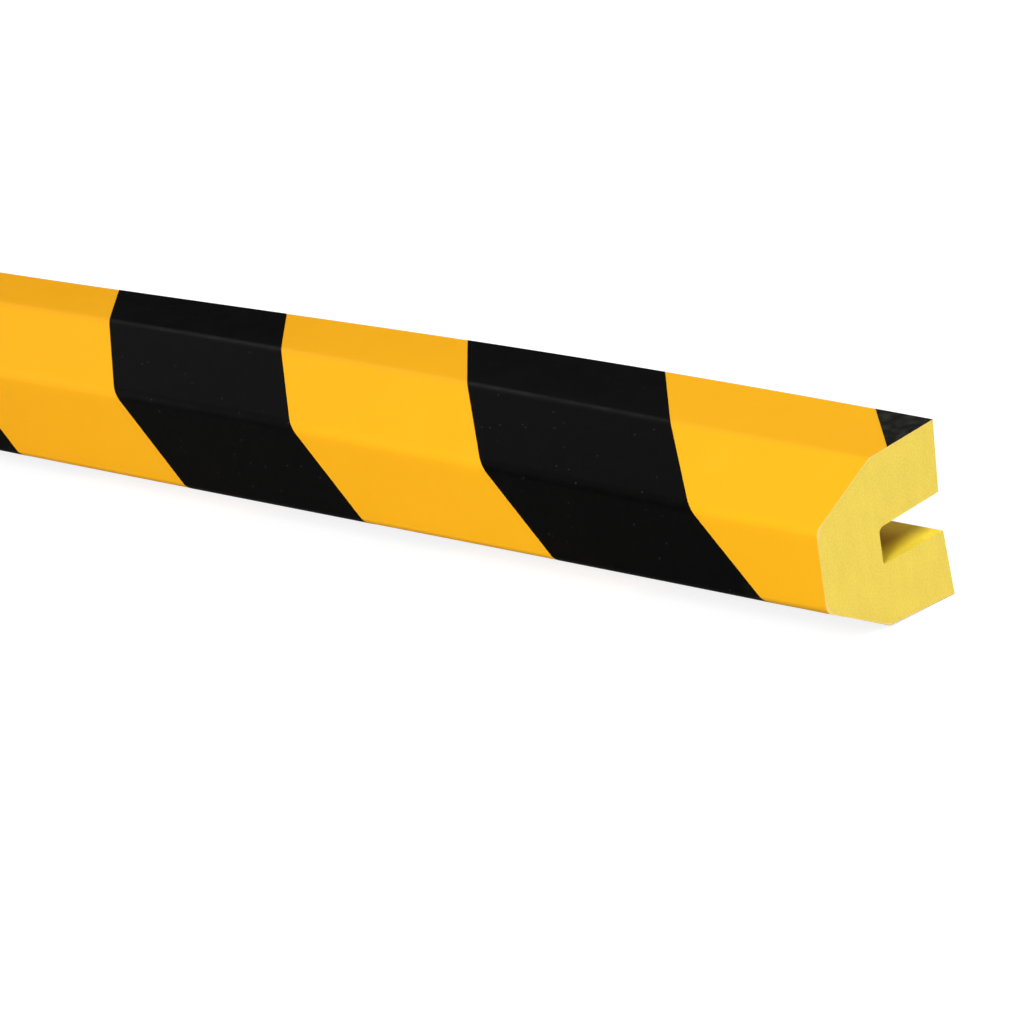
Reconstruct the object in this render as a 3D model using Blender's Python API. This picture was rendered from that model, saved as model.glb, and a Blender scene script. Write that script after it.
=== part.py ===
"""Foam edge protector, a slotted foam bar that is pushed over the bare edge of a plate or rail.

The bar has three bonded layers: the foam, the yellow film wrapped round it from the upper back
corner to the lower one, and the black stripes printed across that film.

Metres, +Z up. X runs along the bar, the nose faces -Y and the slot opens at +Y.
The origin lies on the floor under the middle of the bar.
"""
import math

import bmesh
import bpy
from mathutils import Matrix, Vector

# Outer section
LENGTH = 1.000
DEPTH = 0.040
HEIGHT = 0.040
NOSE_HEIGHT = 0.020
SHOULDER_DEPTH = 0.0180
NOSE_RADIUS = 0.0050
SHOULDER_RADIUS = 0.0015
FOLD_STEPS = 4

# The part of a corner's shorter side that its rounding may take
ARC_SHARE = 0.45

# Slot for the plate, measured from the back corners and the underside
SLOT_DEPTH = 0.0210
SLOT_WIDTH = 0.0082
SLOT_MOUTH = 0.0092
SLOT_CENTRE_HEIGHT = 0.0196
SLOT_CORNER_RADIUS = 0.0012
SLOT_CORNER_STEPS = 3
MOUTH_RECESS = 0.0010

# Film, print and the clearance that keeps bonded layers apart
FILM_THICKNESS = 0.0009
PRINT_THICKNESS = 0.0003
CLEARANCE = 0.0003

# Stripes, laid out on the flat film before it is wrapped
STRIPE_WIDTH = 0.0635
STRIPE_ANGLE = math.radians(45.0)
FIRST_STRIPE_FROM_END = 0.0165
NARROWEST_STRIPE = 0.0100

# How far cutters run past what they cut, and how close points count as one
OVERRUN = 0.0015
MERGE_DISTANCE = 0.00001
FOLD_TOLERANCE = 0.000001

# Linear colour, roughness
FOAM_LOOK = ((0.840, 0.640, 0.110), 0.90)
YELLOW_LOOK = ((0.930, 0.430, 0.012), 0.45)
BLACK_LOOK = ((0.008, 0.008, 0.009), 0.40)


def clear_scene():
    for old in list(bpy.data.objects):
        bpy.data.objects.remove(old, do_unlink=True)


def new_collection(name):
    collection = bpy.data.collections.new(name)
    bpy.context.scene.collection.children.link(collection)
    return collection


def new_material(name, look):
    colour, roughness = look
    material = bpy.data.materials.new(name)
    material.use_nodes = True
    shader = material.node_tree.nodes["Principled BSDF"]
    shader.inputs["Base Color"].default_value = (*colour, 1.0)
    shader.inputs["Roughness"].default_value = roughness
    shader.inputs["Metallic"].default_value = 0.0
    material.diffuse_color = (*colour, 1.0)
    return material


def corner_arc(before, corner, after, radius, steps):
    """Points of the arc that rounds one corner, never longer than the sides beside it."""
    arrive = corner - before
    leave = after - corner
    shortest = min(arrive.length, leave.length)
    arrive.normalize()
    leave.normalize()
    turn = math.atan2(arrive.cross(leave), arrive.dot(leave))
    tangent = min(radius * math.tan(abs(turn) / 2), ARC_SHARE * shortest)
    fitted = tangent / math.tan(abs(turn) / 2)
    start = corner - arrive * tangent
    side = math.copysign(1.0, turn)
    centre = start + Vector((-arrive.y, arrive.x)) * fitted * side
    return [centre + Matrix.Rotation(turn * i / steps, 2) @ (start - centre) for i in range(steps + 1)]


def rounded(points, radii, steps):
    """An open outline of corner points, with an arc at each inner corner."""
    outline = [points[0]]
    for before, corner, after, radius in zip(points, points[1:], points[2:], radii):
        outline += corner_arc(before, corner, after, radius, steps)
    outline.append(points[-1])
    return outline


def film_outline():
    """The bar's outer line in the YZ plane, from the upper back corner round the nose."""
    back = DEPTH / 2
    front = -DEPTH / 2
    shoulder = front + SHOULDER_DEPTH
    middle = HEIGHT / 2
    corners = [
        Vector((back, HEIGHT)),
        Vector((shoulder, HEIGHT)),
        Vector((front, middle + NOSE_HEIGHT / 2)),
        Vector((front, middle - NOSE_HEIGHT / 2)),
        Vector((shoulder, 0.0)),
        Vector((back, 0.0)),
    ]
    radii = [SHOULDER_RADIUS, NOSE_RADIUS, NOSE_RADIUS, SHOULDER_RADIUS]
    return rounded(corners, radii, FOLD_STEPS)


def inward_mitres(outline):
    """For each point the step that moves every side inward by one unit."""
    normals = []
    for here, there in zip(outline, outline[1:]):
        along = (there - here).normalized()
        normals.append(Vector((-along.y, along.x)))
    mitres = [normals[0]]
    for first, second in zip(normals, normals[1:]):
        mitres.append((first + second) / (1.0 + first.dot(second)))
    mitres.append(normals[-1])
    return mitres


def offset(outline, inward):
    return [point + mitre * inward for point, mitre in zip(outline, inward_mitres(outline))]


def fold_places(outline):
    """Distance along the film from its upper edge to each point of the outline."""
    places = [0.0]
    for here, there in zip(outline, outline[1:]):
        places.append(places[-1] + (there - here).length)
    return places


def slot_outline():
    """The slot's sides and inner end, from the lower lip of its mouth to the upper one."""
    mouth = DEPTH / 2 - MOUTH_RECESS
    inner = DEPTH / 2 - SLOT_DEPTH
    corners = [
        Vector((mouth, SLOT_CENTRE_HEIGHT - SLOT_MOUTH / 2)),
        Vector((inner, SLOT_CENTRE_HEIGHT - SLOT_WIDTH / 2)),
        Vector((inner, SLOT_CENTRE_HEIGHT + SLOT_WIDTH / 2)),
        Vector((mouth, SLOT_CENTRE_HEIGHT + SLOT_MOUTH / 2)),
    ]
    return rounded(corners, [SLOT_CORNER_RADIUS, SLOT_CORNER_RADIUS], SLOT_CORNER_STEPS)


def extrude_section(name, outline, collection):
    """A bar of the bar's full length whose section is a closed outline in the YZ plane."""
    curve = bpy.data.curves.new(name, "CURVE")
    curve.dimensions = "2D"
    curve.fill_mode = "BOTH"
    curve.extrude = LENGTH / 2
    spline = curve.splines.new("POLY")
    spline.points.add(len(outline) - 1)
    for point, place in zip(spline.points, outline):
        point.co = (place.x, place.y, 0.0, 1.0)
    spline.use_cyclic_u = True
    drawn = bpy.data.objects.new(name + "_outline", curve)
    drawn.rotation_euler = (math.radians(90.0), 0.0, math.radians(90.0))
    collection.objects.link(drawn)
    bpy.context.view_layer.update()

    evaluated = drawn.evaluated_get(bpy.context.evaluated_depsgraph_get())
    mesh = bpy.data.meshes.new_from_object(evaluated)
    mesh.transform(drawn.matrix_world)
    bpy.data.objects.remove(drawn, do_unlink=True)
    bpy.data.curves.remove(curve)

    shape = bmesh.new()
    shape.from_mesh(mesh)
    bpy.data.meshes.remove(mesh)
    bmesh.ops.remove_doubles(shape, verts=shape.verts, dist=MERGE_DISTANCE)
    bmesh.ops.recalc_face_normals(shape, faces=shape.faces)
    return finish_object(name, shape, collection)


def stripe_starts():
    """Where each stripe begins along X at the film's upper edge, from the +X end backwards."""
    film_width = fold_places(film_outline())[-1]
    slant = film_width * math.tan(STRIPE_ANGLE)
    starts = []
    start = LENGTH / 2 - FIRST_STRIPE_FROM_END
    while start + STRIPE_WIDTH + slant > -LENGTH / 2 + NARROWEST_STRIPE:
        starts.append(start)
        start -= 2 * STRIPE_WIDTH
    return starts


def slab(shape, low, high):
    """Adds a box between two corners and returns its points."""
    low = Vector(low)
    high = Vector(high)
    place = Matrix.Translation((low + high) / 2) @ Matrix.Diagonal(high - low).to_4x4()
    return bmesh.ops.create_cube(shape, size=1.0, matrix=place)["verts"]


def finish_object(name, shape, collection):
    mesh = bpy.data.meshes.new(name)
    shape.to_mesh(mesh)
    shape.free()
    solid = bpy.data.objects.new(name, mesh)
    collection.objects.link(solid)
    return solid


def flat_sheet(name, thickness, collection):
    """A sheet the size of the flat film: x along the bar, y across the film, z inward."""
    film_width = fold_places(film_outline())[-1]
    shape = bmesh.new()
    slab(shape, (-LENGTH / 2, 0.0, 0.0), (LENGTH / 2, film_width, thickness))
    return finish_object(name, shape, collection)


def flat_stripes(name, starts, widened, depth, collection):
    """Slanted slabs that cut stripes out of the flat film or beds into it."""
    film_width = fold_places(film_outline())[-1]
    shape = bmesh.new()
    for start in starts:
        low = (start - widened, -OVERRUN, -OVERRUN)
        high = (start + STRIPE_WIDTH + widened, film_width + OVERRUN, depth)
        for vert in slab(shape, low, high):
            vert.co.x += vert.co.y * math.tan(STRIPE_ANGLE)
    cutter = finish_object(name, shape, collection)
    cutter.hide_render = True
    cutter.display_type = "WIRE"
    return cutter


def carve(solid, cutter, operation):
    """Cuts a flat solid and keeps the result as its mesh, ready to be wrapped."""
    modifier = solid.modifiers.new(cutter.name, "BOOLEAN")
    modifier.operation = operation
    modifier.solver = "EXACT"
    modifier.object = cutter
    bpy.context.view_layer.update()
    evaluated = solid.evaluated_get(bpy.context.evaluated_depsgraph_get())
    carved = bpy.data.meshes.new_from_object(evaluated)
    solid.modifiers.remove(modifier)
    solid.data = carved


def crease(shape, places):
    """Cuts a flat solid along every line where the film bends."""
    for place in places[1:-1]:
        everything = shape.verts[:] + shape.edges[:] + shape.faces[:]
        bmesh.ops.bisect_plane(shape, geom=everything, dist=FOLD_TOLERANCE,
                               plane_co=(0.0, place, 0.0), plane_no=(0.0, 1.0, 0.0))


def wrap(solid):
    """Folds a flat solid round the bar, keeping each point's distance along and under the film."""
    outline = film_outline()
    places = fold_places(outline)
    mitres = inward_mitres(outline)
    shape = bmesh.new()
    shape.from_mesh(solid.data)
    crease(shape, places)
    for vert in shape.verts:
        x, across, inward = vert.co
        side = 0
        while side < len(outline) - 2 and across > places[side + 1]:
            side += 1
        share = (across - places[side]) / (places[side + 1] - places[side])
        here = outline[side] + mitres[side] * inward
        there = outline[side + 1] + mitres[side + 1] * inward
        y, z = here.lerp(there, share)
        vert.co = (x, y, z)
    shape.to_mesh(solid.data)
    shape.free()


def make_foam(collection):
    """The foam bar inside the film, with the plate slot open at its back."""
    under_film = offset(film_outline(), FILM_THICKNESS + CLEARANCE)
    foam = extrude_section("foam_core", under_film + slot_outline(), collection)
    foam.data.materials.append(new_material("foam", FOAM_LOOK))


def make_film(collection, cutters):
    """The yellow film, with a shallow bed in it for each printed stripe."""
    film = flat_sheet("yellow_film", FILM_THICKNESS, collection)
    widened = CLEARANCE / math.cos(STRIPE_ANGLE)
    beds = flat_stripes("stripe_beds", stripe_starts(), widened, PRINT_THICKNESS + CLEARANCE, cutters)
    carve(film, beds, "DIFFERENCE")
    wrap(film)
    film.data.materials.append(new_material("film_yellow", YELLOW_LOOK))


def make_stripes(collection, cutters):
    """The black print, flush with the film's face, one solid to a stripe."""
    black = new_material("print_black", BLACK_LOOK)
    for number, start in enumerate(stripe_starts(), 1):
        stripe = flat_sheet(f"black_stripe_{number:02d}", PRINT_THICKNESS, collection)
        shape = flat_stripes(f"stripe_shape_{number:02d}", [start], 0.0, PRINT_THICKNESS + OVERRUN, cutters)
        carve(stripe, shape, "INTERSECT")
        wrap(stripe)
        stripe.data.materials.append(black)


def main():
    clear_scene()
    protector = new_collection("foam_edge_protector")
    cutters = new_collection("cutters")
    make_foam(protector)
    make_film(protector, cutters)
    make_stripes(protector, cutters)


main()
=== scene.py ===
"""Looks of the foam edge protector: cut foam, glossy yellow film and printed black stripes.

Film and print are laid out flat, as they are made, and then wrapped round the bar's section.
In the flat layout x runs along the bar and y counts the folds from the film's upper back edge.
"""
import math

import bmesh
import bpy
from mathutils import Matrix, Vector


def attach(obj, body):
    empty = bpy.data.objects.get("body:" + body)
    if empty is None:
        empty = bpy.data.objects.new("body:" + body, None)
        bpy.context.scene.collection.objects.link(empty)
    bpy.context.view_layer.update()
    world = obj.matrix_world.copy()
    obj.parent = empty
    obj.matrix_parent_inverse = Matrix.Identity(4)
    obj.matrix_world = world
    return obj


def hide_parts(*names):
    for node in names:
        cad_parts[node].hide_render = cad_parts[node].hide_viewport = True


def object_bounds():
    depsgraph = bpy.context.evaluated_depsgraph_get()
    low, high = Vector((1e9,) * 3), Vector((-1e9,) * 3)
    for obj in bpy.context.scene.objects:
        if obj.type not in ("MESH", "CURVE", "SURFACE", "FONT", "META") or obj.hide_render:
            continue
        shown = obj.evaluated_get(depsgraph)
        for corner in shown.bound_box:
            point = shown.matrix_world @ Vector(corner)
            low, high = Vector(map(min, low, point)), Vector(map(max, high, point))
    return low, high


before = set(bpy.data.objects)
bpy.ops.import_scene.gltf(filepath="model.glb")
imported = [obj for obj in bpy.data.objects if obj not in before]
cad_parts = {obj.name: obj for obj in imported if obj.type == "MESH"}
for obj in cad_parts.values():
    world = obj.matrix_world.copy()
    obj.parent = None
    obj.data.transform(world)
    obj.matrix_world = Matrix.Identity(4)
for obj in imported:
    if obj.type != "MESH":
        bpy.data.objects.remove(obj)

MM = 0.001

# The CAD model's box, which every size along and across the bar is tied to
CAD_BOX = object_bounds()
LOW = Vector(CAD_BOX[0])
HIGH = Vector(CAD_BOX[1])
LEFT_END = LOW.x
RIGHT_END = HIGH.x
FRONT = LOW.y
BACK = HIGH.y
TOP = HIGH.z

# The section, measured from the front, the floor and the top, with a little lift under each end
SHOULDER_DEPTH = 18.8 * MM
BEVEL_DROP = 10.0 * MM
END_LIFT = 0.6 * MM
END_LIFT_REACH = 40 * MM

# Rounding of the creases: along the bar, at the cut ends, and on the foam under the film
NOSE_ROUNDING = 3.4 * MM
LOWER_NOSE_ROUNDING = 1.6 * MM
SHOULDER_ROUNDING = 6.5 * MM
NOSE_ROUNDING_AT_CUT = 2.6 * MM
SHOULDER_ROUNDING_AT_CUT = 2.4 * MM
ROUNDING_REACH = 14 * MM
NOSE_UNDERSIDE = 6.8 * MM
SHOULDER_UNDERSIDE = 14 * MM

# How finely the outline is divided: steps in an arc and between arcs, and an arc's share of a side
ARC_STEPS = 10
FLAT_STEPS = (6, 4, 6, 4, 6)
ARC_SHARE = 0.45

# The soft foam is not quite straight: mean, swing and period of each edge, and where it peaks
BACK_EDGE_WAVE = (-0.9 * MM, 1.9 * MM, 600 * MM, 80 * MM)
FRONT_WAVE = (-0.45 * MM, 0.6 * MM, 360 * MM, 180 * MM)
LOWER_NOSE_WAVE = (-1.0 * MM, 1.4 * MM, 800 * MM, -50 * MM)

# The waves fade out beyond the part that the photo shows, measured from the near cut end
WAVES_FADE_FROM = 350 * MM
WAVES_END_AT = 600 * MM

# The slot: distance from the back, heights of its sides at the mouth and at the inner end
SLOT_DEPTH = 20.9 * MM
MOUTH_RECESS = 1.1 * MM
MOUTH_HEIGHTS = (15.15 * MM, 24.1 * MM)
INNER_HEIGHTS = (14.5 * MM, 22.8 * MM)
SLOT_ROUNDING = (0.8 * MM, 1.5 * MM)
INNER_END = BACK - SLOT_DEPTH

# Layers, as depths under the outer face
FILM_TOP = 0.05 * MM
FILM_UNDERSIDE = 0.30 * MM
PRINT_UNDERSIDE = 0.045 * MM
FOAM_TOP = 0.31 * MM

# Stripes on the flat film, numbered from the near cut end
STRIPE_WIDTH = 63.6 * MM
STRIPE_ANGLE = math.radians(45)
FIRST_STRIPE_ANGLE = math.radians(47)
FIRST_STRIPE_FROM_END = 16.3 * MM
SECOND_STRIPE_EXTRA = 0.6 * MM
NARROWEST_STRIPE = 2 * MM

# Passes that settle where a stripe's slanted edge crosses a fold, which strays with the waves
EDGE_PASSES = 4

# Stations along the bar: their spacing, and the closer ones next to each cut end
STATION_STEP = 10 * MM
END_STATIONS = (1 * MM, 2.5 * MM, 4.5 * MM, 7 * MM, 10 * MM, 14 * MM)

# Faces that meet at less than this are shaded as one
SMOOTH_ANGLE = math.radians(40)

# Tolerances in metres: for a point that lies on a cut end, and for cutting a flat sheet
AT_CUT_END = 1e-6
CUTTING_TOLERANCE = 1e-7

# Painted shade in the slot: darker in a line along its inner end, and deep inside away from the cut,
# where the walls shade it
INNER_SHADE_LINE = 2 * MM
DEEP_SHADE_FROM_INNER_END = (26 * MM, 13 * MM)
DEEP_SHADE_FROM_CUT = (5.2 * MM, 8 * MM)

# Painted light along the bar: the film is a shade warmer and darker further from the near cut end, and
# paler next to it
WARMER_FROM_CUT = (450 * MM, 20 * MM)

# The dusty print next to the near cut end, and how much dust lies further on
DUST_FROM_CUT = (24 * MM, 12 * MM)
DUST_ELSEWHERE = 0.02

# Grain of each surface: noise cells to a metre
PORES = 2200
FOAM_CLOUDS = 260
SKIN_GRAIN = 1300
EDGE_GRAIN = 900
FILM_RIPPLES = 700
FILM_GLOSS_PATCHES = 160
FILM_HAZE = 45
DUST_CLOUDS = 420
PRINT_SPECKS = 300

# Height of the grain that the bump nodes stand for
FOAM_RELIEF = 0.3 * MM
FILM_RELIEF = 0.2 * MM

# Camera: its place in metres in the row frame, two of its axes, and its lens in the photo's pixels
CAMERA_PLACE = Vector((1.18949, -0.72532, 0.39095))
CAMERA_RIGHT = Vector((0.69962, 0.69949, -0.14572))
CAMERA_UP = Vector((-0.14066, 0.33480, 0.93173))
FOCAL_PIXELS = 5000
IMAGE_PIXELS = 1024
SENSOR_WIDTH = 36.0
FARTHEST_SEEN = 50.0

# The floor: half its width, the hair's breadth it lies under the bar, and its levels
FLOOR_REACH = 12.0
FLOOR_GAP = 0.05 * MM
FLOOR_GREY_SEEN = 0.30
FLOOR_GREY_TO_LAMPS = 0.45
FLOOR_GLOW = 0.85

# The world is white to the camera and only a trace of light to everything else
WORLD_SEEN = 1.0
WORLD_LIGHT = 0.015

# Where the soft lamps point: the bar's near half, and its top further back
BAR_AIM = Vector((0.35, 0.0, 0.02))
FAR_AIM = Vector((0.12, 0.0, 0.04))
STUDIO_DISTANCE = 3.2


def corner_arc(before, corner, after, radius, steps):
    """Points of the arc that rounds one corner, never longer than the sides beside it."""
    arrive = corner - before
    leave = after - corner
    shortest = min(arrive.length, leave.length)
    arrive.normalize()
    leave.normalize()
    turn = math.atan2(arrive.cross(leave), arrive.dot(leave))
    tangent = min(radius * math.tan(abs(turn) / 2), ARC_SHARE * shortest)
    fitted = tangent / math.tan(abs(turn) / 2)
    start = corner - arrive * tangent
    centre = start + Vector((-arrive.y, arrive.x)) * fitted * math.copysign(1.0, turn)
    return [centre + Matrix.Rotation(turn * i / steps, 2) @ (start - centre) for i in range(steps + 1)]


def rounded(points, radii, flat_steps=None):
    """An open outline with an arc at each inner corner and its straight sides divided evenly."""
    runs = [[points[0]]]
    for before, corner, after, radius in zip(points, points[1:], points[2:], radii):
        runs.append(corner_arc(before, corner, after, radius, ARC_STEPS))
    runs.append([points[-1]])
    outline = list(runs[0])
    for number, (run, following) in enumerate(zip(runs, runs[1:])):
        parts = flat_steps[number] if flat_steps else 1
        for i in range(1, parts):
            outline.append(run[-1].lerp(following[0], i / parts))
        outline += following
    return outline


def wave(from_end, shape):
    """How far one edge strays, fading out along the part of the bar that the photo cuts off."""
    mean, swing, period, peak = shape
    share = (WAVES_END_AT - from_end) / (WAVES_END_AT - WAVES_FADE_FROM)
    share = min(max(share, 0.0), 1.0)
    fade = share * share * (3.0 - 2.0 * share)
    return fade * (mean + swing * math.cos(2 * math.pi * (from_end - peak) / period))


def to_nearest_end(x):
    return min(RIGHT_END - x, x - LEFT_END)


def outer_corners(x):
    """The section's corners at one place along the bar, from the upper back edge round the nose."""
    from_end = RIGHT_END - x
    front = wave(from_end, FRONT_WAVE)
    lift = END_LIFT * math.exp(-to_nearest_end(x) / END_LIFT_REACH)
    shoulder = FRONT + SHOULDER_DEPTH
    return [
        Vector((BACK, TOP + wave(from_end, BACK_EDGE_WAVE))),
        Vector((shoulder, TOP + front)),
        Vector((FRONT, TOP - BEVEL_DROP + front)),
        Vector((FRONT, BEVEL_DROP + wave(from_end, LOWER_NOSE_WAVE))),
        Vector((shoulder, lift)),
        Vector((BACK, 0.0)),
    ]


def outer_outline(x):
    """The film's outer face at one place along the bar, with the creases as they are there."""
    crisp = math.exp(-to_nearest_end(x) / ROUNDING_REACH)
    nose = NOSE_ROUNDING + (NOSE_ROUNDING_AT_CUT - NOSE_ROUNDING) * crisp
    lower_nose = LOWER_NOSE_ROUNDING + (NOSE_ROUNDING_AT_CUT - LOWER_NOSE_ROUNDING) * crisp
    shoulder = SHOULDER_ROUNDING + (SHOULDER_ROUNDING_AT_CUT - SHOULDER_ROUNDING) * crisp
    return rounded(outer_corners(x), [shoulder, nose, lower_nose, shoulder], FLAT_STEPS)


def under_outline(x):
    """The same outline with the wider rounding of the foam, where the film lies thicker in a crease."""
    radii = [SHOULDER_UNDERSIDE, NOSE_UNDERSIDE, NOSE_UNDERSIDE, SHOULDER_UNDERSIDE]
    return rounded(outer_corners(x), radii, FLAT_STEPS)


def inward_mitres(outline):
    """For each point the step that moves every side inward by one unit."""
    normals = []
    for here, there in zip(outline, outline[1:]):
        along = (there - here).normalized()
        normals.append(Vector((-along.y, along.x)))
    mitres = [normals[0]]
    for first, second in zip(normals, normals[1:]):
        mitres.append((first + second) / (1.0 + first.dot(second)))
    mitres.append(normals[-1])
    return mitres


def offset(outline, inward):
    return [point + mitre * inward for point, mitre in zip(outline, inward_mitres(outline))]


def fold_places(x):
    """Distance over the film from its upper edge to each fold, at one place along the bar."""
    outline = outer_outline(min(max(x, LEFT_END), RIGHT_END))
    places = [0.0]
    for here, there in zip(outline, outline[1:]):
        places.append(places[-1] + (there - here).length)
    return places


def stations():
    """Places along the bar where the section is worked out, closer together near the cut ends."""
    count = round((RIGHT_END - LEFT_END) / STATION_STEP)
    places = [LEFT_END + STATION_STEP * i for i in range(count + 1)]
    for near in END_STATIONS:
        places += [LEFT_END + near, RIGHT_END - near]
    return sorted(set(round(place, 6) for place in places))


FOLD_COUNT = len(fold_places(0.0))
STATIONS = stations()


def link(name, mesh, body="root"):
    piece = bpy.data.objects.new(name, mesh)
    bpy.context.scene.collection.objects.link(piece)
    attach(piece, body)
    return piece


def finish_mesh(name, mesh):
    """A piece from a mesh, with its faces turned outward and shaded smooth up to sharp edges."""
    shape = bmesh.new()
    shape.from_mesh(mesh)
    bmesh.ops.recalc_face_normals(shape, faces=shape.faces)
    shape.to_mesh(mesh)
    shape.free()
    mesh.polygons.foreach_set("use_smooth", [True] * len(mesh.polygons))
    mesh.set_sharp_from_angle(angle=SMOOTH_ANGLE)
    return link(name, mesh)


def slot_outline():
    """The slot's sides and inner end, from the lower lip of its mouth to the upper one."""
    mouth = BACK - MOUTH_RECESS
    corners = [
        Vector((mouth, MOUTH_HEIGHTS[0])),
        Vector((INNER_END, INNER_HEIGHTS[0])),
        Vector((INNER_END, INNER_HEIGHTS[1])),
        Vector((mouth, MOUTH_HEIGHTS[1])),
    ]
    return rounded(corners, SLOT_ROUNDING)


def make_foam(cut_material, moulded_material):
    """The foam bar, lofted through the stations: a moulded skin along it and two cut ends."""
    slot = slot_outline()
    rings = [offset(under_outline(x), FOAM_TOP) + slot for x in STATIONS]
    size = len(rings[0])
    points = [(x, p.x, p.y) for x, ring in zip(STATIONS, rings) for p in ring]
    faces = []
    for station in range(len(STATIONS) - 1):
        here = station * size
        there = here + size
        for i in range(size):
            after = (i + 1) % size
            faces.append([here + i, here + after, there + after, there + i])
    last = (len(STATIONS) - 1) * size
    faces.append(list(reversed(range(size))))
    faces.append([last + i for i in range(size)])
    mesh = bpy.data.meshes.new("foam_body")
    mesh.from_pydata(points, [], faces)
    mesh.materials.append(cut_material)
    mesh.materials.append(moulded_material)
    mesh.polygons.foreach_set("material_index", [1] * (len(faces) - 2) + [0, 0])
    foam = finish_mesh("foam_body", mesh)
    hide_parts("foam_core")


def cut_flat(sheet, place, normal, keep_inside=False):
    everything = sheet.verts[:] + sheet.edges[:] + sheet.faces[:]
    bmesh.ops.bisect_plane(sheet, geom=everything, dist=CUTTING_TOLERANCE, plane_co=place,
                           plane_no=normal, clear_outer=keep_inside)


def slanted_edge(start, slant):
    """Where a straight slanted line on the flat film crosses each fold, along the bar."""
    crossings = []
    for fold in range(FOLD_COUNT):
        x = start
        for _ in range(EDGE_PASSES):
            x = start + fold_places(x)[fold] * math.tan(slant)
        crossings.append(x)
    return crossings


def flat_sheet(left_edge, right_edge):
    """A flat sheet between two edges, clipped to the bar's length and divided at every station."""
    sheet = bmesh.new()
    rows = []
    for fold in range(FOLD_COUNT):
        rows.append([sheet.verts.new((edge[fold], fold, 0.0)) for edge in (left_edge, right_edge)])
    for near, far in zip(rows, rows[1:]):
        sheet.faces.new([near[0], near[1], far[1], far[0]])
    cut_flat(sheet, (RIGHT_END, 0, 0), (1, 0, 0), keep_inside=True)
    cut_flat(sheet, (LEFT_END, 0, 0), (-1, 0, 0), keep_inside=True)
    low = min(vert.co.x for vert in sheet.verts)
    high = max(vert.co.x for vert in sheet.verts)
    for x in STATIONS:
        if low < x < high:
            cut_flat(sheet, (x, 0, 0), (1, 0, 0))
    return sheet


class Wrapper:
    """Places points of the flat film on the bar, at one depth under one outline."""

    def __init__(self, outline, depth):
        self.outline = outline
        self.depth = depth
        self.known = {}

    def section(self, x):
        key = round(x, 7)
        if key not in self.known:
            self.known[key] = offset(self.outline(x), self.depth)
        return self.known[key]

    def place(self, x, fold):
        side = min(int(fold), FOLD_COUNT - 2)
        section = self.section(x)
        y, z = section[side].lerp(section[side + 1], fold - side)
        return Vector((x, y, z))


def wrapped_shell(name, sheet, over, under, materials):
    """A closed shell between two wrapped copies of a sheet, with its own finish at the cut ends."""
    sheet.verts.index_update()
    count = len(sheet.verts)
    points = [over.place(v.co.x, v.co.y) for v in sheet.verts]
    points += [under.place(v.co.x, v.co.y) for v in sheet.verts]
    faces = []
    finishes = []
    for face in sheet.faces:
        ring = [v.index for v in face.verts]
        faces.append(ring)
        faces.append([i + count for i in reversed(ring)])
        finishes += [0, 0]
    for edge in sheet.edges:
        if not edge.is_boundary:
            continue
        loop = edge.link_loops[0]
        first = loop.vert
        second = loop.link_loop_next.vert
        faces.append([second.index, first.index, first.index + count, second.index + count])
        at_cut = all(to_nearest_end(v.co.x) < AT_CUT_END for v in (first, second))
        finishes.append(1 if at_cut and len(materials) > 1 else 0)
    sheet.free()
    mesh = bpy.data.meshes.new(name)
    mesh.from_pydata(points, [], faces)
    for material in materials:
        mesh.materials.append(material)
    mesh.polygons.foreach_set("material_index", finishes)
    return finish_mesh(name, mesh)


def make_film(material, edge_material):
    sheet = flat_sheet([LEFT_END] * FOLD_COUNT, [RIGHT_END] * FOLD_COUNT)
    over = Wrapper(outer_outline, FILM_TOP)
    under = Wrapper(under_outline, FILM_UNDERSIDE)
    film = wrapped_shell("film_yellow", sheet, over, under, [material, edge_material])
    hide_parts("yellow_film")


def make_print(material):
    """The black stripes, from the near cut end to the far one, where the last is only a corner."""
    over = Wrapper(outer_outline, 0.0)
    under = Wrapper(outer_outline, PRINT_UNDERSIDE)
    reach = STRIPE_WIDTH + fold_places(LEFT_END)[-1] * math.tan(STRIPE_ANGLE)
    start = RIGHT_END - FIRST_STRIPE_FROM_END
    number = 1
    while start + reach > LEFT_END + NARROWEST_STRIPE:
        slant = FIRST_STRIPE_ANGLE if number == 1 else STRIPE_ANGLE
        width = STRIPE_WIDTH + (SECOND_STRIPE_EXTRA if number == 2 else 0.0)
        sheet = flat_sheet(slanted_edge(start, slant), slanted_edge(start + width, slant))
        stripe = wrapped_shell(f"print_black_{number:02d}", sheet, over, under, [material])
        node = f"black_stripe_{number:02d}"
        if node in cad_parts:
            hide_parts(node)
        start -= 2 * STRIPE_WIDTH
        number += 1


def new_material(name, roughness, specular):
    material = bpy.data.materials.new(name)
    material.use_nodes = True
    shader = material.node_tree.nodes["Principled BSDF"]
    shader.inputs["Roughness"].default_value = roughness
    shader.inputs["Specular IOR Level"].default_value = specular
    return material, shader


def add(material, kind, **values):
    """A node with some of its inputs and settings filled in."""
    node = material.node_tree.nodes.new(kind)
    for name, value in values.items():
        if name in node.inputs:
            node.inputs[name].default_value = value
        else:
            setattr(node, name, value)
    return node


def wire(material, source, target):
    material.node_tree.links.new(source, target)


def grey(level):
    return (level, level, level)


def noise(material, per_metre, detail, stretch=(1, 1, 1)):
    """Noise in the bar's own coordinates."""
    place = add(material, "ShaderNodeTexCoord")
    mapping = add(material, "ShaderNodeMapping", Scale=stretch)
    texture = add(material, "ShaderNodeTexNoise", Scale=per_metre, Detail=detail)
    wire(material, place.outputs["Object"], mapping.inputs["Vector"])
    wire(material, mapping.outputs["Vector"], texture.inputs["Vector"])
    return texture.outputs["Fac"]


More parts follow.
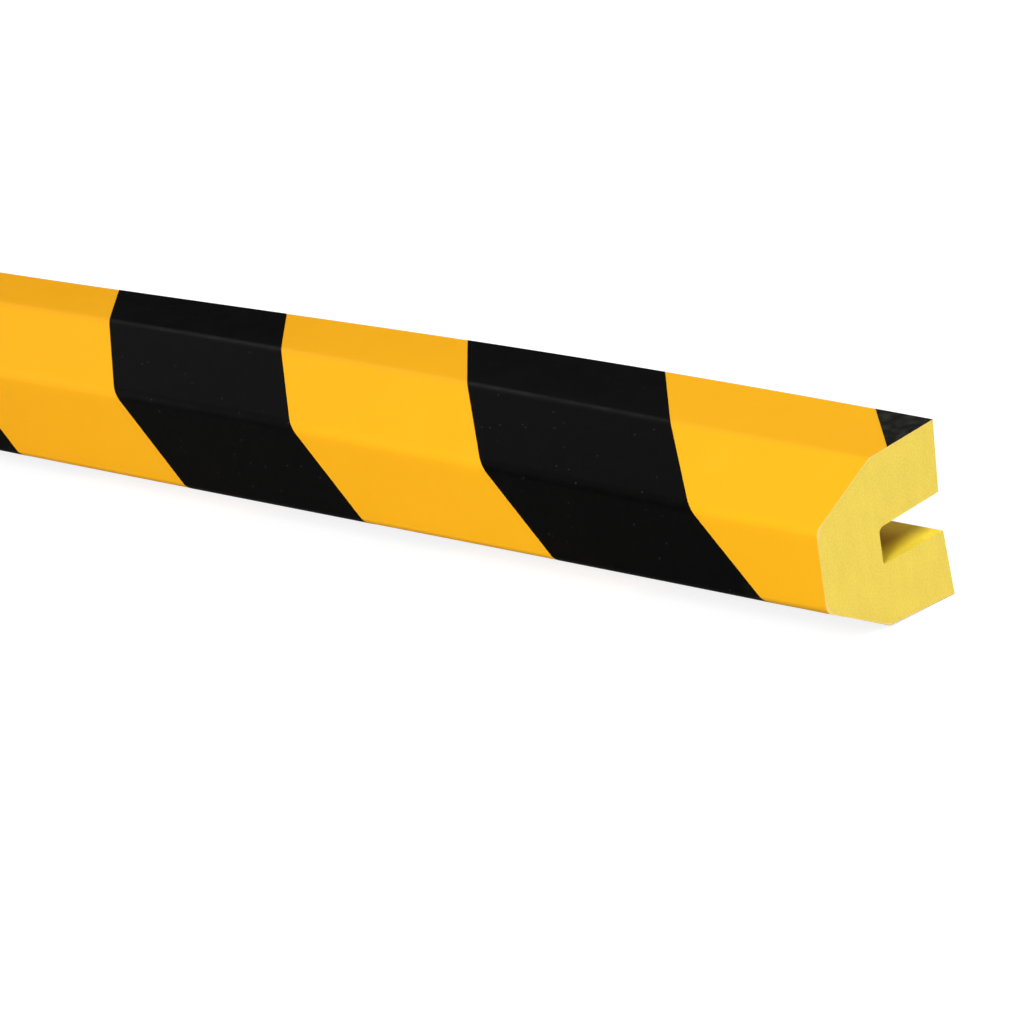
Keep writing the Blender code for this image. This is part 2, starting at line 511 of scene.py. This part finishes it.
def ramp(material, source, stops):
    """A colour ramp over one value: stops are (position, colour)."""
    node = add(material, "ShaderNodeValToRGB")
    for element, (position, colour) in zip(node.color_ramp.elements, stops):
        element.position = position
        element.color = (*colour, 1.0)
    wire(material, source, node.inputs["Fac"])
    return node.outputs["Color"]


def specks(material, per_metre, stops):
    """Tiny spots scattered through the material, from a ramp over the distance to each one's centre."""
    place = add(material, "ShaderNodeTexCoord")
    texture = add(material, "ShaderNodeTexVoronoi", Scale=per_metre)
    wire(material, place.outputs["Object"], texture.inputs["Vector"])
    return ramp(material, texture.outputs["Distance"], stops)


def progress(material, axis, begin, end, least=0.0):
    """A value that rises to one between two places on one axis of the bar's own coordinates."""
    place = add(material, "ShaderNodeTexCoord")
    axes = add(material, "ShaderNodeSeparateXYZ")
    reach = add(material, "ShaderNodeMapRange")
    reach.inputs["From Min"].default_value = begin
    reach.inputs["From Max"].default_value = end
    reach.inputs["To Min"].default_value = least
    wire(material, place.outputs["Object"], axes.inputs["Vector"])
    wire(material, axes.outputs[axis], reach.inputs["Value"])
    return reach.outputs["Result"]


def rise_along_bar(material, from_cut, least=0.0):
    """A value that rises to one from the first to the second distance from the near cut end."""
    first, second = from_cut
    return progress(material, "X", RIGHT_END - first, RIGHT_END - second, least)


def product(material, first, second):
    node = add(material, "ShaderNodeMath", operation="MULTIPLY")
    wire(material, first, node.inputs[0])
    wire(material, second, node.inputs[1])
    return node.outputs["Value"]


def mixed(material, kind, factor, first, second):
    """Two colours mixed: a plain blend, or the second multiplied over the first."""
    mix = add(material, "ShaderNodeMix", data_type="RGBA", blend_type=kind)
    for name, value in (("Factor", factor), ("A", first), ("B", second)):
        if isinstance(value, bpy.types.NodeSocket):
            wire(material, value, mix.inputs[name])
        else:
            mix.inputs[name].default_value = value
    return mix.outputs["Result"]


def multiplied(material, first, second):
    return mixed(material, "MULTIPLY", 1.0, first, second)


def bump(material, shader, height, strength, distance):
    node = add(material, "ShaderNodeBump", Strength=strength, Distance=distance)
    wire(material, height, node.inputs["Height"])
    wire(material, node.outputs["Normal"], shader.inputs["Normal"])


def cut_foam_material():
    """Pale matt foam, mottled by its pores and by soft streaks."""
    material, shader = new_material("cut_foam", roughness=0.9, specular=0.1)
    pores = noise(material, PORES, 3)
    clouds = noise(material, FOAM_CLOUDS, 2, stretch=(1, 1, 0.45))
    pore_colour = (0.850, 0.630, 0.095)
    foam_colour = (0.945, 0.725, 0.120)
    fine = ramp(material, pores, [(0.30, pore_colour), (0.66, foam_colour)])
    shade = ramp(material, clouds, [(0.30, grey(0.945)), (0.70, grey(1.0))])
    wire(material, multiplied(material, fine, shade), shader.inputs["Base Color"])
    bump(material, shader, pores, 0.35, FOAM_RELIEF)
    return material


def painted_slot_shade(material):
    """Painted brown shade deep in the slot, on top of the shade the lamps cast there, and none at the
    cut end or on the back.
    """
    inward = progress(material, "Y", *[INNER_END + reach for reach in DEEP_SHADE_FROM_INNER_END])
    along = rise_along_bar(material, DEEP_SHADE_FROM_CUT)
    past_the_back = progress(material, "Y", BACK, BACK - MOUTH_RECESS)
    deep_painted_shade = product(material, product(material, inward, along), past_the_back)
    unshaded = (1.0, 1.0, 1.0, 1.0)
    # Painted shade colour, multiplied over the skin deep in the slot
    painted_shade_brown = (0.60, 0.49, 0.36, 1.0)
    return mixed(material, "MIX", deep_painted_shade, unshaded, painted_shade_brown)


def moulded_material():
    """The foam's own skin on the back and in the slot, deeper yellow than the cut, with painted shade
    in the slot.
    """
    material, shader = new_material("moulded_foam", roughness=0.75, specular=0.15)
    grain = noise(material, SKIN_GRAIN, 3)
    dark_skin = (0.920, 0.690, 0.043)
    pale_skin = (0.970, 0.750, 0.054)
    skin = ramp(material, grain, [(0.30, dark_skin), (0.68, pale_skin)])
    # Painted shade: a dark line along the slot's inner end, where its walls meet
    near_inner_end = progress(material, "Y", INNER_END, INNER_END + INNER_SHADE_LINE)
    inner_end_painted_shade = ramp(material, near_inner_end, [(0.0, (0.38, 0.30, 0.34)), (0.6, grey(1.0))])
    colour = multiplied(material, multiplied(material, skin, inner_end_painted_shade), painted_slot_shade(material))
    wire(material, colour, shader.inputs["Base Color"])
    bump(material, shader, grain, 0.25, FOAM_RELIEF)
    return material


def film_surface(material, shader, smoothest, roughest):
    """The uneven gloss and faint ripples that the film and the print on it share."""
    patches = noise(material, FILM_GLOSS_PATCHES, 3)
    gloss = ramp(material, patches, [(0.3, grey(smoothest)), (0.7, grey(roughest))])
    wire(material, gloss, shader.inputs["Roughness"])
    bump(material, shader, noise(material, FILM_RIPPLES, 2), 0.04, FILM_RELIEF)


def yellow_material():
    material, shader = new_material("yellow_film_face", roughness=0.38, specular=0.055)
    deep_yellow = (0.938, 0.440, 0.0082)
    pale_yellow = (0.953, 0.452, 0.0098)
    haze = noise(material, FILM_HAZE, 2)
    plain = ramp(material, haze, [(0.3, deep_yellow), (0.7, pale_yellow)])
    # Painted light: warmer and darker away from the near cut end, paler next to it
    warm = (1.0, 0.935, 0.80)
    cool = (0.975, 1.0, 1.0)
    toward_cut = rise_along_bar(material, WARMER_FROM_CUT)
    painted_light_tint = ramp(material, toward_cut, [(0.0, warm), (1.0, cool)])
    wire(material, multiplied(material, plain, painted_light_tint), shader.inputs["Base Color"])
    film_surface(material, shader, 0.36, 0.42)
    return material


def film_edge_material():
    """The film's thin cut edge, paler than its face."""
    material, shader = new_material("film_cut_edge", roughness=0.6, specular=0.2)
    grain = noise(material, EDGE_GRAIN, 2)
    colour = ramp(material, grain, [(0.3, (0.93, 0.66, 0.16)), (0.7, (0.96, 0.72, 0.22))])
    wire(material, colour, shader.inputs["Base Color"])
    return material


def dust(material):
    """Mottled dust on the print, far thicker next to the near cut end."""
    thickness = rise_along_bar(material, DUST_FROM_CUT, DUST_ELSEWHERE)
    clouds = noise(material, DUST_CLOUDS, 3)
    patches = ramp(material, clouds, [(0.38, grey(0.25)), (0.66, grey(1.0))])
    return product(material, thickness, patches)


def black_material():
    material, shader = new_material("black_print_face", roughness=0.33, specular=0.036)
    spots = specks(material, PRINT_SPECKS, [(0.03, grey(0.020)), (0.11, grey(0.0010))])
    dusty = (0.026, 0.027, 0.022, 1.0)
    colour = mixed(material, "MIX", dust(material), spots, dusty)
    wire(material, colour, shader.inputs["Base Color"])
    film_surface(material, shader, 0.30, 0.37)
    return material


def floor_material():
    """A pale floor that the camera sees as white, with the object's shadow kept."""
    material, shader = new_material("floor", roughness=0.9, specular=0.0)
    seen = add(material, "ShaderNodeLightPath").outputs["Is Camera Ray"]
    levels = [(0.0, grey(FLOOR_GREY_TO_LAMPS)), (1.0, grey(FLOOR_GREY_SEEN))]
    wire(material, ramp(material, seen, levels), shader.inputs["Base Color"])
    glow = add(material, "ShaderNodeEmission", Strength=FLOOR_GLOW)
    dark = add(material, "ShaderNodeEmission", Strength=0.0)
    choose = add(material, "ShaderNodeMixShader")
    both = add(material, "ShaderNodeAddShader")
    output = material.node_tree.nodes["Material Output"]
    wire(material, seen, choose.inputs["Fac"])
    wire(material, dark.outputs["Emission"], choose.inputs[1])
    wire(material, glow.outputs["Emission"], choose.inputs[2])
    wire(material, shader.outputs["BSDF"], both.inputs[0])
    wire(material, choose.outputs["Shader"], both.inputs[1])
    wire(material, both.outputs["Shader"], output.inputs["Surface"])
    return material


def make_floor():
    mesh = bpy.data.meshes.new("floor")
    low, high = -FLOOR_REACH, FLOOR_REACH
    corners = [(low, low), (high, low), (high, high), (low, high)]
    mesh.from_pydata([(x, y, -FLOOR_GAP) for x, y in corners], [], [[0, 1, 2, 3]])
    mesh.materials.append(floor_material())
    floor = bpy.data.objects.new("floor", mesh)
    bpy.context.scene.collection.objects.link(floor)


def make_world():
    world = bpy.data.worlds.new("studio")
    bpy.context.scene.world = world
    world.use_nodes = True
    background = world.node_tree.nodes["Background"]
    background.inputs["Color"].default_value = (1.0, 1.0, 1.0, 1.0)
    path = add(world, "ShaderNodeLightPath")
    level = add(world, "ShaderNodeMapRange")
    level.inputs["To Min"].default_value = WORLD_LIGHT
    level.inputs["To Max"].default_value = WORLD_SEEN
    wire(world, path.outputs["Is Camera Ray"], level.inputs["Value"])
    wire(world, level.outputs["Result"], background.inputs["Strength"])


def make_sun(name, toward, level, size_degrees):
    """A distant soft lamp. A white face square to it, lit by it alone, shows the given level."""
    lamp = bpy.data.lights.new(name, "SUN")
    lamp.energy = level * math.pi
    lamp.angle = math.radians(size_degrees)
    holder = bpy.data.objects.new(name, lamp)
    holder.rotation_euler = Vector(toward).to_track_quat("Z", "Y").to_euler()
    bpy.context.scene.collection.objects.link(holder)


def make_softbox(name, aim, toward, distance, level, size, mirrored=True):
    """A round soft lamp that shows the given level on a white face square to it at the aimed place."""
    lamp = bpy.data.lights.new(name, "AREA")
    lamp.shape = "DISK"
    lamp.size = size
    lamp.energy = level * (math.pi * distance) ** 2
    direction = Vector(toward).normalized()
    holder = bpy.data.objects.new(name, lamp)
    holder.location = aim + direction * distance
    holder.rotation_euler = direction.to_track_quat("Z", "Y").to_euler()
    holder.visible_camera = False
    holder.visible_glossy = mirrored
    bpy.context.scene.collection.objects.link(holder)


def make_lights():
    """The studio: soft lamps in front and above, and wide low suns behind and to the left."""
    make_softbox("key", BAR_AIM, (0.38, -0.80, 0.60), STUDIO_DISTANCE, 0.725, 1.1)
    make_softbox("overhead", BAR_AIM, (0.40, -0.32, 0.86), STUDIO_DISTANCE, 0.26, 1.3)
    make_softbox("end_fill", BAR_AIM, (1.0, -0.30, 0.08), STUDIO_DISTANCE, 0.49, 1.1, mirrored=False)
    make_softbox("far_top", FAR_AIM, (0.10, 0.62, 0.78), 0.9, 0.28, 0.5)
    make_softbox("crease_glint", BAR_AIM, (-0.70, 0.42, 0.57), 2.8, 0.029, 0.6)
    make_sun("back_low", (0.40, 0.90, 0.10), 0.12, 20)
    make_sun("back_wide", (-0.15, 0.98, 0.14), 0.28, 40)
    make_sun("left_low", (-0.95, -0.25, 0.12), 0.26, 24)
    make_sun("left_high", (-0.75, -0.15, 0.62), 0.115, 50)


def make_camera():
    data = bpy.data.cameras.new("camera")
    data.sensor_width = SENSOR_WIDTH
    data.lens = FOCAL_PIXELS / IMAGE_PIXELS * SENSOR_WIDTH
    data.clip_end = FARTHEST_SEEN
    camera = bpy.data.objects.new("camera", data)
    backward = CAMERA_RIGHT.cross(CAMERA_UP)
    axes = Matrix((CAMERA_RIGHT, CAMERA_UP, backward)).transposed()
    camera.matrix_world = Matrix.Translation(CAMERA_PLACE) @ axes.to_4x4()
    bpy.context.scene.collection.objects.link(camera)
    bpy.context.scene.camera = camera


make_foam(cut_foam_material(), moulded_material())
make_film(yellow_material(), film_edge_material())
make_print(black_material())
make_floor()
make_world()
make_lights()
make_camera()
bpy.context.scene.view_settings.view_transform = "Standard"
